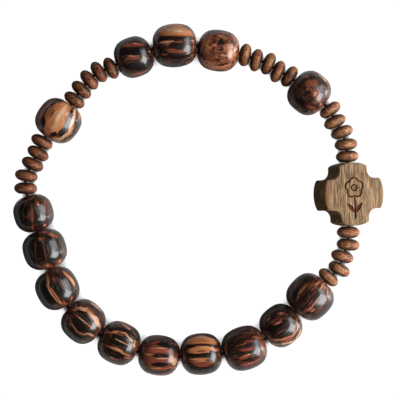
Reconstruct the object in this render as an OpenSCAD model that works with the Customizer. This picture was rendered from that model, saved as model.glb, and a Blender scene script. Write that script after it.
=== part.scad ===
// Rosary bracelet: palmwood beads, small wooden spacer beads and a cross bead on one elastic cord.
// It lies on the plane z = 0. The origin is under the middle of the loop's box. +X points to the cross bead.

/* [Palmwood beads] */
// Widest diameter of a usual palmwood bead
palm_d = 8.2; // [7:0.1:10]
// Length of a usual palmwood bead along its bore
palm_l = 7.5; // [6.5:0.1:9]
// Radius of the belly curve of a palmwood bead, seen from the side
palm_belly_r = 6; // [5.5:0.1:12]
// Radius of the shoulder curve at each end of a palmwood bead
palm_shoulder_r = 2.8; // [1:0.1:2.9]

/* [Spacer beads] */
// Widest diameter of a spacer bead
spacer_d = 4.4; // [3.6:0.1:7]
// Thickness of a spacer bead along its bore
spacer_l = 2.15; // [1.8:0.05:2.6]
// Radius of the outer rim of a spacer bead, seen from the side
spacer_rim_r = 0.8; // [0.4:0.05:0.85]
// Radius of the curve from the rim to the flat end of a spacer bead
spacer_shoulder_r = 1.35; // [1.2:0.05:1.6]

/* [Cross bead] */
// Width of the cross bead across the cord
cross_w = 12.4; // [10:0.1:18]
// Height of the cross bead along the cord
cross_h = 12; // [10:0.1:18]
// Thickness of the cross bead
cross_t = 5.2; // [3.5:0.1:8]
// Width of each arm of the cross bead
cross_arm_w = 5.8; // [5:0.1:7]
// Radius of the outward curve of each arm's end
cross_end_r = 6.4; // [5:0.1:20]
// Radius of the small round corners of the arms
cross_corner_r = 0.4; // [0.2:0.05:0.8]
// Radius of the scooped inner corners between the arms
cross_scoop_r = 1.6; // [0.8:0.1:2]
// How far the cross bead leans on its outer edge
cross_tilt = 21; // [0:1:35]

/* [Engraved rose] */
// Depth of the engraving
engrave_depth = 0.25; // [0.1:0.05:0.6]
// Width of the engraved lines
groove_w = 0.32; // [0.2:0.02:0.5]
// Radius of one round petal
petal_r = 0.85; // [0.6:0.05:1]
// Distance of each petal's middle from the flower's middle
petal_reach = 1.05; // [0.8:0.05:1.2]
// Radius of the ring at the flower's middle
heart_r = 0.55; // [0.4:0.05:0.6]
// Height of the flower's middle above the middle of the cross bead
flower_rise = 1.2; // [0.5:0.1:1.5]
// How far below the middle of the cross bead the stem ends
stem_drop = 4.6; // [3:0.1:5]
// Length of each leaf
leaf_l = 2.5; // [1.5:0.1:3]
// Widest part of each leaf
leaf_w = 0.9; // [0.6:0.05:1.2]

/* [Elastic cord] */
// Diameter of the elastic cord
cord_d = 0.6; // [0.4:0.05:0.8]
// Diameter of the bore through every bead
bore_d = 1.7; // [1.5:0.05:2]
// Clearance left between neighbouring beads
bead_gap = 0.1; // [0.1:0.05:0.5]

/* [Hidden] */
$fn = 64;

PALM = "palm_bead";
SPACER = "spacer_bead";
CROSS = "cross_bead";

// Bearings of the flower's petals and of the leaves on the stem, in degrees
PETALS = 5;
LEAF_ANGLE = 50;

// What follows the cross bead, anticlockwise: [spacer beads, palmwood beads]
RUNS = [[5, 1], [5, 3], [5, 1], [5, 10], [5, 0]];

// One row for each palmwood bead in that order. The first three are shares of palm_d, palm_l and palm_d:
// [diameter, length, shift away from the loop's middle, degrees turned on the cord]
PALM_ROWS = [
    [1.02, 0.96, 0.01, 0],
    [0.98, 1.04, -0.02, 0],
    [1.03, 1.10, -0.02, 0],
    [0.95, 0.95, -0.03, 0],
    [1.05, 1.01, -0.03, 2],
    [0.93, 0.92, -0.05, -2],
    [1.02, 0.97, -0.01, -1],
    [1.00, 1.01, 0.03, 0],
    [1.01, 1.00, -0.01, 0],
    [1.00, 1.00, -0.02, 0],
    [0.95, 1.03, 0.02, 0],
    [0.98, 1.03, -0.01, 0],
    [1.03, 1.08, 0.02, 0],
    [0.98, 0.98, 0.00, 0],
    [1.08, 1.03, 0.00, 0],
];

// One row for each run of spacer beads: shift of each one away from the loop's middle, as a share of spacer_d
SPACER_SHIFTS = [
    [-0.06, -0.03, -0.04, -0.09, 0.08],
    [0.08, -0.01, 0.10, 0.03, 0.08],
    [-0.12, -0.01, -0.03, -0.07, -0.10],
    [0.03, -0.07, -0.05, 0.09, 0.08],
    [-0.07, 0.05, -0.11, 0.00, -0.04],
];

// One row for each run of spacer beads: how far each one is turned on the cord, in degrees
SPACER_TURNS = [
    [0, -6, -6, -3, -2],
    [-3, 6, 3, 5, 6],
    [6, 5, -4, -4, 1],
    [0, -6, 3, 5, -9],
    [6, 5, 4, 8, 0],
];

// How far the cross bead is turned on the cord, in degrees
CROSS_TURN = 2;

// The cord's way round, anticlockwise from the cross bead
ROUTE = [
    [28.0, 1.0], [28.0, 8.5], [26.0, 14.5], [20.5, 20.0], [13.0, 25.0], [4.0, 28.0],
    [-4.5, 29.0], [-12.0, 27.0], [-20.0, 23.0], [-26.0, 15.5], [-30.5, 8.5], [-32.0, 3.5],
    [-31.5, -2.0], [-29.0, -9.0], [-26.5, -16.0], [-21.5, -23.0], [-15.0, -27.0], [-7.5, -29.0],
    [0.5, -29.0], [9.0, -27.5], [15.5, -23.5], [21.0, -18.0], [26.0, -13.0], [28.0, -8.0],
];

// Points worked out between two neighbouring points of the route
STEPS = 12;
CORD_SIDES = 8;

// How far the smaller curve stands past the longer one where two of them run together, so that they cross
BLEND = 0.01;

// Where the shoulder's middle lies on a round bar end whose belly is flatter than its shoulders
function barrel_end(reach, half, belly, shoulder) =
    reach - belly + sqrt(pow(belly - shoulder, 2) - pow(half - shoulder, 2));

// The same for a button's edge, whose rim is rounder than its shoulders
function button_end(reach, half, rim, shoulder) =
    reach - rim - sqrt(pow(shoulder - rim, 2) - pow(shoulder - half, 2));

function wrap(value, span) = value - span * floor(value / span);
function unit(v) = v / norm(v);
function along(angle) = [cos(angle), sin(angle)];

// What each piece on the cord is, how many of its kind come before it, and its node's name
KINDS = concat([CROSS], [for (run = RUNS) each concat(
    [for (k = [1:1:run[0]]) SPACER], [for (k = [1:1:run[1]]) PALM])]);
PIECES = len(KINDS);
RANKS = [for (i = [0:PIECES - 1]) len([for (j = [0:1:i - 1]) if (KINDS[j] == KINDS[i]) j])];
function numbered(name, rank) = str(name, "_", rank < 9 ? "0" : "", rank + 1);
NAMES = [for (i = [0:PIECES - 1]) KINDS[i] == CROSS ? CROSS : numbered(KINDS[i], RANKS[i])];

PER_RUN = len(SPACER_SHIFTS[0]);
function spacer_value(table, rank) = table[floor(rank / PER_RUN)][rank % PER_RUN];

function radius_of(i) = KINDS[i] == PALM ? palm_d / 2 * PALM_ROWS[RANKS[i]][0]
    : KINDS[i] == SPACER ? spacer_d / 2 : cross_w / 2;
function length_of(i) = KINDS[i] == PALM ? palm_l * PALM_ROWS[RANKS[i]][1]
    : KINDS[i] == SPACER ? spacer_l : cross_h;
function shoulder_of(i) = KINDS[i] == PALM ? min(palm_shoulder_r, length_of(i) / 2)
    : KINDS[i] == SPACER ? max(spacer_shoulder_r, length_of(i) / 2) : cross_end_r;
function end_radius_of(i) = KINDS[i] == PALM ? barrel_end(radius_of(i), length_of(i) / 2, palm_belly_r, shoulder_of(i))
    : KINDS[i] == SPACER ? button_end(radius_of(i), length_of(i) / 2, spacer_rim_r, shoulder_of(i))
    : cross_t / 2 * sin(cross_tilt);
function shift_of(i) = KINDS[i] == PALM ? palm_d * PALM_ROWS[RANKS[i]][2]
    : KINDS[i] == SPACER ? spacer_d * spacer_value(SPACER_SHIFTS, RANKS[i]) : 0;
function turn_of(i) = KINDS[i] == PALM ? PALM_ROWS[RANKS[i]][3]
    : KINDS[i] == SPACER ? spacer_value(SPACER_TURNS, RANKS[i]) : CROSS_TURN;

// A smooth closed curve through the route's points, and the distance along it of each of its points
function curve_point(a, b, c, d, t) =
    b + t * (c - a) / 2 + t * t * (a - 2.5 * b + 2 * c - d / 2) + t * t * t * (1.5 * (b - c) + (d - a) / 2);
TURNS = len(ROUTE);
CURVE = [for (i = [0:TURNS - 1], k = [0:STEPS - 1]) curve_point(
    ROUTE[wrap(i - 1, TURNS)], ROUTE[i], ROUTE[(i + 1) % TURNS], ROUTE[(i + 2) % TURNS], k / STEPS)];
SPANS = len(CURVE);
REACHED = [for (i = 0, at = 0; i <= SPANS; at = at + norm(CURVE[(i + 1) % SPANS] - CURVE[i % SPANS]), i = i + 1) at];
CURVE_X = [for (i = [0:SPANS]) [REACHED[i] / REACHED[SPANS], CURVE[i % SPANS].x]];
CURVE_Y = [for (i = [0:SPANS]) [REACHED[i] / REACHED[SPANS], CURVE[i % SPANS].y]];
function on_curve(share) = let (s = wrap(share, 1)) [lookup(s, CURVE_X), lookup(s, CURVE_Y)];

// Where each piece's middle comes along the cord, and the way round, when so much room is left after each piece
function next_step(i, room) = (length_of(i) + length_of((i + 1) % PIECES)) / 2 + room[i];
function middles(room) = [for (i = 0, at = 0; i < PIECES; at = at + next_step(i, room), i = i + 1) at];
function way_round(room) = middles(room)[PIECES - 1] + next_step(PIECES - 1, room);

// Each piece's middle on the curve, scaled to the way round, then shifted from the loop's middle
function places(room) = let (at = middles(room), loop = way_round(room)) [for (i = [0:PIECES - 1]) let (
    half = length_of(i) / 2,
    chord = unit(on_curve((at[i] + half) / loop) - on_curve((at[i] - half) / loop)))
    loop / REACHED[SPANS] * on_curve(at[i] / loop) + shift_of(i) * [chord.y, -chord.x]];

// Each bore points from the piece's meeting with the one before to its meeting with the next, and turns from there
function meeting(i, spots) = let (next = (i + 1) % PIECES)
    (spots[i] * length_of(next) + spots[next] * length_of(i)) / (length_of(i) + length_of(next));
function bearings(spots) = [for (i = [0:PIECES - 1])
    let (way = meeting(i, spots) - meeting(wrap(i - 1, PIECES), spots)) atan2(way.y, way.x) + turn_of(i)];

// How far a piece reaches from its middle, at an angle to its bore
function reach_at(i, angle) = (length_of(i) / 2 - shoulder_of(i)) * cos(angle)
    + max(0, end_radius_of(i)) * abs(sin(angle)) + shoulder_of(i);

// Room after each piece with what its end and the next one's lack added, on the line midway between their bores
function roomier(room) = let (spots = places(room), ways = bearings(spots)) [for (i = [0:PIECES - 1]) let (
    next = (i + 1) % PIECES,
    halfway = (wrap(ways[next] - ways[i] + 180, 360) - 180) / 2)
    room[i] + bead_gap + reach_at(i, halfway) + reach_at(next, halfway)
        - (spots[next] - spots[i]) * along(ways[i] + halfway)];
ROOM = roomier(roomier(roomier([for (i = [0:PIECES - 1]) bead_gap])));
LOOP = way_round(ROOM);
MIDDLES = middles(ROOM);
PLACES = places(ROOM);
BEARINGS = bearings(PLACES);

// The palmwood beads and the cross bead rest on the surface, and the spacers hang on the cord between them
cross_z = cross_w / 2 * sin(cross_tilt) + cross_t / 2 * cos(cross_tilt);
RESTING = concat(
    [for (i = [0:PIECES - 1]) if (KINDS[i] != SPACER) [MIDDLES[i], KINDS[i] == CROSS ? cross_z : radius_of(i)]],
    [[LOOP, cross_z]]);
function height_of(i) = lookup(MIDDLES[i], RESTING);

// Half of each piece's width along x and y, and the middle of the whole loop's box
function half_span(i, angle) = norm([length_of(i) / 2 * cos(angle), radius_of(i) * sin(angle)]);
HALF_X = [for (i = [0:PIECES - 1]) KINDS[i] == CROSS
    ? cross_w / 2 * cos(cross_tilt) + cross_t / 2 * sin(cross_tilt) : half_span(i, BEARINGS[i])];
HALF_Y = [for (i = [0:PIECES - 1]) KINDS[i] == CROSS ? cross_h / 2 : half_span(i, BEARINGS[i] - 90)];
CENTRE_X = (max([for (i = [0:PIECES - 1]) PLACES[i].x + HALF_X[i]])
    + min([for (i = [0:PIECES - 1]) PLACES[i].x - HALF_X[i]])) / 2;
CENTRE_Y = (max([for (i = [0:PIECES - 1]) PLACES[i].y + HALF_Y[i]])
    + min([for (i = [0:PIECES - 1]) PLACES[i].y - HALF_Y[i]])) / 2;

// Where each piece goes, and where the ends of its bore are
SPOTS = [for (i = [0:PIECES - 1]) [PLACES[i].x - CENTRE_X, PLACES[i].y - CENTRE_Y, height_of(i)]];
function bore_end(i, side) = SPOTS[i] + side * length_of(i) / 2 * concat(along(BEARINGS[i]), [0]);

// The cord runs through the middle of each pair of facing bores
CORD_POINTS = [for (i = [0:PIECES - 1]) (bore_end(i, 1) + bore_end((i + 1) % PIECES, -1)) / 2];

// Half of a bar or bead seen from the side: a long belly curve that runs into two shoulder curves
module barrel_profile(reach, half, belly, shoulder) {
    shoulder_x = barrel_end(reach, half, belly, shoulder) + BLEND;
    belly_angle = asin((half - shoulder) / (belly - shoulder));
    past = belly + shoulder;
    intersection() {
        translate([0, -half]) square([reach + shoulder, 2 * half]);
        union() {
            for (side = [-1, 1]) translate([shoulder_x, side * (half - shoulder)]) circle(shoulder);
            translate([0, -half]) square([max(shoulder_x, BLEND), 2 * half]);
            intersection() {
                translate([reach - belly, 0]) circle(belly);
                polygon([
                    [shoulder_x, shoulder - half],
                    [reach - belly, 0] + past * along(-belly_angle),
                    [reach - belly, 0] + past * along(belly_angle),
                    [shoulder_x, half - shoulder]]);
            }
        }
    }
}

// Half of a flat round bead seen from the side: two shoulder curves that meet in a rounder rim
module button_profile(reach, half, rim, shoulder) {
    shoulder_x = button_end(reach, half, rim, shoulder) - BLEND;
    rim_middle = [reach - rim, 0];
    touch = rim_middle + rim * unit(rim_middle - [shoulder_x, half - shoulder]);
    intersection() {
        translate([0, -half]) square([reach, 2 * half]);
        union() {
            translate([0, -half]) square([shoulder_x, 2 * half]);
            translate(rim_middle) circle(rim);
            intersection() {
                translate([shoulder_x, half - shoulder]) circle(shoulder);
                translate([shoulder_x, shoulder - half]) circle(shoulder);
                translate([0, -half]) square([touch.x, 2 * half]);
            }
        }
    }
}

// Puts a piece whose bore runs along z at its place on the cord
module on_cord(i) {
    translate(SPOTS[i]) rotate([0, 90, BEARINGS[i]]) children();
}

module palm_bead(i) {
    color("saddlebrown") on_cord(i) difference() {
        rotate_extrude() barrel_profile(radius_of(i), length_of(i) / 2, palm_belly_r, shoulder_of(i));
        cylinder(h = 2 * length_of(i), d = bore_d, center = true);
    }
}

module spacer_bead(i) {
    color("peru") on_cord(i) difference() {
        rotate_extrude() button_profile(radius_of(i), length_of(i) / 2, spacer_rim_r, shoulder_of(i));
        cylinder(h = 2 * length_of(i), d = bore_d, center = true);
    }
}

// One arm of the cross, from the middle to its end along x
module arm_outline(reach) {
    barrel_profile(reach, cross_arm_w / 2, cross_end_r, cross_corner_r);
}

module cross_outline() {
    for (side = [0, 180]) {
        rotate(side) arm_outline(cross_w / 2);
        rotate(side + 90) arm_outline(cross_h / 2);
    }
    scooped = cross_arm_w / 2 + cross_scoop_r;
    difference() {
        square(2 * scooped, center = true);
        for (x = [-scooped, scooped], y = [-scooped, scooped]) translate([x, y]) circle(cross_scoop_r);
    }
}

module petals(grow) {
    for (k = [0:PETALS - 1]) translate(petal_reach * along(90 + k * 360 / PETALS)) circle(petal_r + grow);
}

// Two equal arcs that meet in a point at each end
module leaf() {
    bow = (leaf_l * leaf_l / leaf_w + leaf_w) / 4;
    intersection() {
        translate([leaf_l / 2, bow - leaf_w / 2]) circle(bow);
        translate([leaf_l / 2, leaf_w / 2 - bow]) circle(bow);
    }
}

// A five-petalled rose on its stem
module rose_outline() {
    translate([0, flower_rise]) {
        difference() {
            petals(groove_w / 2);
            petals(-groove_w / 2);
        }
        difference() {
            circle(heart_r + groove_w / 2);
            circle(heart_r - groove_w / 2);
        }
    }
    translate([-groove_w / 2, -stem_drop]) square([groove_w, stem_drop + flower_rise - petal_reach]);
    for (side = [0, 1]) mirror([side, 0]) translate([0, -stem_drop / 2 - leaf_l / 2]) rotate(LEAF_ANGLE) leaf();
}

module cross_bead(i) {
    color("tan") translate(SPOTS[i]) rotate([0, 0, BEARINGS[i] - 90]) rotate([0, cross_tilt, 0]) difference() {
        translate([0, 0, -cross_t / 2]) linear_extrude(cross_t) cross_outline();
        translate([0, 0, cross_t / 2 - engrave_depth]) linear_extrude(2 * engrave_depth) rose_outline();
        rotate([90, 0, 0]) cylinder(h = 2 * cross_h, d = bore_d, center = true);
    }
}

// One ring of the cord's wall round a point of its way
function cord_ring(i) = let (
    ahead = unit(CORD_POINTS[(i + 1) % PIECES] - CORD_POINTS[wrap(i - 1, PIECES)]),
    across = unit(cross(ahead, [0, 0, 1])),
    up = cross(across, ahead))
    [for (k = [0:CORD_SIDES - 1]) CORD_POINTS[i]
        + cord_d / 2 * (cos(k * 360 / CORD_SIDES) * across + sin(k * 360 / CORD_SIDES) * up)];

module elastic_cord() {
    color("#3a2a20") polyhedron(
        points = [for (i = [0:PIECES - 1]) each cord_ring(i)],
        faces = [for (i = [0:PIECES - 1], k = [0:CORD_SIDES - 1]) let (
            here = i * CORD_SIDES,
            there = (i + 1) % PIECES * CORD_SIDES,
            next = (k + 1) % CORD_SIDES)
            each [[here + k, there + k, there + next], [here + k, there + next, here + next]]]);
}

for (i = [0:PIECES - 1]) {
    union() {
        if (KINDS[i] == PALM) palm_bead(i);
        if (KINDS[i] == SPACER) spacer_bead(i);
        if (KINDS[i] == CROSS) cross_bead(i);
    }
}
elastic_cord();
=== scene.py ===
"""Dresses the rosary bracelet: lacquered palmwood beads, waxed spacer beads, an engraved cross and a dark cord."""

import logging
import math
from dataclasses import dataclass
from enum import Enum
from typing import Callable, Iterable

import bmesh
import bpy
import numpy as np
from mathutils import Euler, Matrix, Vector


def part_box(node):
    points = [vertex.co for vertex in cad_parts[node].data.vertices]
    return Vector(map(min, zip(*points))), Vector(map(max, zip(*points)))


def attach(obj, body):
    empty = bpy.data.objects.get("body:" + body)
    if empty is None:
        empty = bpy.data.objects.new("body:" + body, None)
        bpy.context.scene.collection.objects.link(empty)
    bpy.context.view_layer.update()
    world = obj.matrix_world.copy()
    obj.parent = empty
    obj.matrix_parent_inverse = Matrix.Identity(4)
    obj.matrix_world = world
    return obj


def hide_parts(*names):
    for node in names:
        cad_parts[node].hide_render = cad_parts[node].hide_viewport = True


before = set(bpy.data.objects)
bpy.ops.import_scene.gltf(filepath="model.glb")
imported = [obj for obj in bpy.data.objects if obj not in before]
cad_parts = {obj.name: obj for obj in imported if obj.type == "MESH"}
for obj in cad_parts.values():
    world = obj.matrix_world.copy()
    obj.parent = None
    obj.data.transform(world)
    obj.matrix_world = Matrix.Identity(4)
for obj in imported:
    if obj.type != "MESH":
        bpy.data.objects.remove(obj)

log = logging.getLogger("rosary")

MM = 0.001
ROOT = "root"


def linear(code: str) -> tuple[float, float, float, float]:
    """Turns an sRGB hex colour into the linear colour that Blender's sockets take.

    Args:
        code: six hex digits, such as "D9A070".

    Returns:
        Red, green, blue and an alpha of 1.
    """
    parts = [int(code[i:i + 2], 16) / 255 for i in (0, 2, 4)]
    red, green, blue = (p / 12.92 if p <= 0.04045 else ((p + 0.055) / 1.055) ** 2.4 for p in parts)
    return red, green, blue, 1.0


def add_node(tree: bpy.types.NodeTree, kind: str, inputs: dict | None = None, **settings) -> bpy.types.Node:
    """Adds one shader node with its settings and links.

    Args:
        tree: the material's node tree.
        kind: Blender's name for the node type.
        inputs: values or output sockets by the name or number of the input they go to.
        **settings: the node's own properties.

    Returns:
        The new node.
    """
    made = tree.nodes.new(kind)
    for name, value in settings.items():
        setattr(made, name, value)
    for key, value in (inputs or {}).items():
        if isinstance(value, bpy.types.NodeSocket):
            tree.links.new(value, made.inputs[key])
        else:
            made.inputs[key].default_value = value
    return made


def new_material(name: str) -> tuple[bpy.types.Material, bpy.types.NodeTree, bpy.types.Node]:
    """Makes a node material that holds only its Principled shader and output.

    Args:
        name: the real material's name.

    Returns:
        The material, its node tree and its Principled shader.
    """
    material = bpy.data.materials.new(name)
    material.use_nodes = True
    tree = material.node_tree
    tree.nodes.clear()
    shader = add_node(tree, "ShaderNodeBsdfPrincipled")
    add_node(tree, "ShaderNodeOutputMaterial", {"Surface": shader.outputs[0]})
    return material, tree, shader


def ramp(tree: bpy.types.NodeTree, value: bpy.types.NodeSocket, stops: Iterable[tuple[float, str]]):
    """Colours a value by a row of stops.

    Args:
        tree: the material's node tree.
        value: the socket to colour.
        stops: pairs of a place from 0 to 1 and a hex colour, in rising order.

    Returns:
        The colour socket.
    """
    made = add_node(tree, "ShaderNodeValToRGB", {0: value})
    elements = made.color_ramp.elements
    stops = list(stops)
    while len(elements) < len(stops):
        elements.new(0.5)
    for element, (place, code) in zip(elements, stops):
        element.position, element.color = place, linear(code)
    return made.outputs[0]


def mix_colour(tree: bpy.types.NodeTree, share, under, over, blend: str = "MIX"):
    """Mixes two colours and gives the colour socket; share, under and over are sockets or values."""
    made = add_node(tree, "ShaderNodeMix", {0: share, 6: under, 7: over}, data_type="RGBA", blend_type=blend)
    return made.outputs[2]


def fade(tree: bpy.types.NodeTree, value, low: float, high: float, start: float = 0.0, end: float = 1.0):
    """Maps a value smoothly from low..high to start..end and gives the number socket."""
    made = add_node(tree, "ShaderNodeMapRange", {0: value, 1: low, 2: high, 3: start, 4: end},
                    interpolation_type="SMOOTHSTEP")
    return made.outputs[0]


def maths(tree: bpy.types.NodeTree, what: str, first, second=0.0):
    """Does one sum on numbers and gives the number socket."""
    return add_node(tree, "ShaderNodeMath", {0: first, 1: second}, operation=what).outputs[0]


def placed(tree: bpy.types.NodeTree, middle: Vector, turn: Iterable[float], scale: float = MM):
    """Gives a piece's own coordinates in millimetres, from Object coordinates.

    Args:
        tree: the material's node tree.
        middle: the piece's middle, in metres.
        turn: the piece's Euler turn.
        scale: metres to one unit of the result.

    Returns:
        The vector socket.
    """
    coordinates = add_node(tree, "ShaderNodeTexCoord").outputs["Object"]
    made = add_node(tree, "ShaderNodeMapping", {
        "Vector": coordinates, "Location": middle, "Rotation": tuple(turn), "Scale": (scale,) * 3},
        vector_type="TEXTURE")
    return made.outputs[0]


@dataclass(frozen=True)
class Stance:
    """Where a drilled bead sits on the cord, in metres, and its bore's bearing in radians."""

    middle: Vector
    bearing: float
    length: float
    radius: float

    @classmethod
    def of(cls, node: str) -> "Stance":
        """Reads a bead's stance from its CAD node: the walls of its bore tell which way it points.

        Args:
            node: the CAD node's name.

        Returns:
            The stance.
        """
        low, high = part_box(node)
        middle, half = (low + high) / 2, (high.z - low.z) / 2
        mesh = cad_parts[node].data
        walls = [p for p in mesh.polygons if (p.center - middle).length < 0.55 * half]
        normals = np.array([p.normal for p in walls])
        areas = np.array([p.area for p in walls])
        spread = (normals * areas[:, None]).T @ normals
        axis = np.linalg.eigh(spread)[1][:, 0]
        reach = np.array([v.co for v in mesh.vertices]) @ axis
        return cls(middle, math.atan2(axis[1], axis[0]), float(np.ptp(reach)), half)

    def turn(self) -> tuple[float, float, float]:
        """Gives the Euler turn that lays a bead modelled on the z axis along its bore."""
        return 0.0, math.pi / 2, self.bearing


class Bench:
    """The modelling steps that every piece shares. Pieces are shaped in millimetres, then scaled down."""

    @staticmethod
    def clear() -> None:
        """Leaves edit mode with nothing selected."""
        if bpy.context.object and bpy.context.object.mode != "OBJECT":
            bpy.ops.object.mode_set(mode="OBJECT")
        bpy.ops.object.select_all(action="DESELECT")

    @classmethod
    def hold(cls, piece: bpy.types.Object) -> bpy.types.Object:
        """Makes one piece the only selected and active one."""
        cls.clear()
        piece.select_set(True)
        bpy.context.view_layer.objects.active = piece
        return piece

    @classmethod
    def edit(cls, piece: bpy.types.Object) -> None:
        """Takes one piece into edit mode with nothing selected."""
        cls.hold(piece)
        bpy.ops.object.mode_set(mode="EDIT")
        bpy.ops.mesh.select_mode(type="VERT")
        bpy.ops.mesh.select_all(action="DESELECT")

    @staticmethod
    def pick(piece: bpy.types.Object, test: Callable[[Vector], bool], kind: str = "VERT") -> int:
        """Selects the parts of a mesh in edit mode whose middle passes a test, and nothing else.

        Args:
            piece: the piece in edit mode.
            test: takes the middle of a vertex, edge or face.
            kind: VERT, EDGE or FACE.

        Returns:
            How many were selected.
        """
        bpy.ops.mesh.select_mode(type=kind)
        bpy.ops.mesh.select_all(action="DESELECT")
        mesh = bmesh.from_edit_mesh(piece.data)
        parts = {"VERT": mesh.verts, "EDGE": mesh.edges, "FACE": mesh.faces}[kind]
        count = 0
        for part in parts:
            middle = part.co if kind == "VERT" else (
                sum((v.co for v in part.verts), Vector()) / len(part.verts))
            if test(middle):
                part.select = True
                count += 1
        mesh.select_flush_mode()
        bmesh.update_edit_mesh(piece.data)
        return count

    @classmethod
    def round_points(cls, piece: bpy.types.Object, test: Callable[[Vector], bool], back: float, steps: int) -> None:
        """Rounds the corners of a flat outline.

        Args:
            piece: the outline in edit mode.
            test: tells which corners.
            back: how far along its edges each corner is cut back, in millimetres.
            steps: edges in each arc.
        """
        cls.pick(piece, test)
        bpy.ops.mesh.bevel(offset=back, offset_type="OFFSET", segments=steps, profile=0.5,
                           affect="VERTICES", clamp_overlap=False)

    @classmethod
    def apply(cls, piece: bpy.types.Object) -> None:
        """Puts a piece's place into its mesh."""
        cls.hold(piece)
        bpy.ops.object.transform_apply(location=True, rotation=True, scale=True)

    @classmethod
    def seat(cls, piece: bpy.types.Object, middle: Vector, turn: Iterable[float]) -> None:
        """Scales a piece from millimetres, turns it and sets it at its place, all in its mesh."""
        piece.scale = (MM,) * 3
        piece.rotation_euler = Euler(tuple(turn))
        piece.location = middle
        cls.apply(piece)

    @classmethod
    def tidy(cls, piece: bpy.types.Object, sharp: float) -> None:
        """Merges doubles, turns the faces outwards and smooths all but the sharp edges.

        Args:
            piece: the piece.
            sharp: edges that turn more than this stay sharp, in degrees.
        """
        cls.edit(piece)
        bpy.ops.mesh.select_all(action="SELECT")
        bpy.ops.mesh.remove_doubles(threshold=0.0005)
        bpy.ops.mesh.normals_make_consistent(inside=False)
        bpy.ops.object.mode_set(mode="OBJECT")
        bpy.ops.object.shade_smooth_by_angle(angle=math.radians(sharp))

    @classmethod
    def cut(cls, piece: bpy.types.Object, cutter: bpy.types.Object, keep_finish: bool) -> None:
        """Takes a cutter's shape out of a piece and removes the cutter.

        Args:
            piece: the piece to cut.
            cutter: the shape taken out.
            keep_finish: whether the cut takes on the cutter's material.
        """
        cls.hold(piece)
        modifier = piece.modifiers.new("cut", "BOOLEAN")
        modifier.operation, modifier.object, modifier.solver = "DIFFERENCE", cutter, "EXACT"
        modifier.material_mode = "TRANSFER" if keep_finish else "INDEX"
        modifier.use_self = keep_finish
        bpy.ops.object.modifier_apply(modifier=modifier.name)
        if not piece.data.polygons:
            raise RuntimeError(f"cutting {cutter.name} out of {piece.name} left nothing")
        bpy.data.objects.remove(cutter)


def show(piece: bpy.types.Object, node: str, finish: bpy.types.Material) -> None:
    """Dresses a finished piece, lets it ride and hides the CAD node that it replaces.

    Args:
        piece: the finished piece.
        node: the CAD node it stands for.
        finish: its main material.
    """
    if not piece.data.materials:
        piece.data.materials.append(finish)
    piece.data.materials[0] = finish
    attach(piece, ROOT)
    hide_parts(node)
    log.info("%s: %d faces", piece.name, len(piece.data.polygons))


class Tone(Enum):
    """Colours that the eye picks out in lacquered palmwood."""

    BLACK = "110A07"
    DARK = "26150E"
    UMBER = "472A1C"
    RUST = "743E28"
    RED = "8E4530"
    CRIMSON = "80382F"
    PINK = "B47A66"
    ORANGE = "AA6A46"
    HONEY = "BE7446"
    TAN = "C08C64"
    PALE = "D4A680"


@dataclass(frozen=True)
class Fleck:
    """One mark on a bead, in millimetres right of and above the bead's middle: mostly a fibre bundle cut by the bead's
    surface; on beads 01 and 14 a few tan flecks at the rim are painted reflection.
    """

    right: float
    up: float
    long: float
    wide: float
    lean: float
    tone: Tone


class Grain(Enum):
    """Which way the palm's fibres run through a bead: along its bore, or upright."""

    ALONG = (0.24, 1.0, 1.0)
    UPRIGHT = (1.0, 1.0, 0.4)


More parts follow.
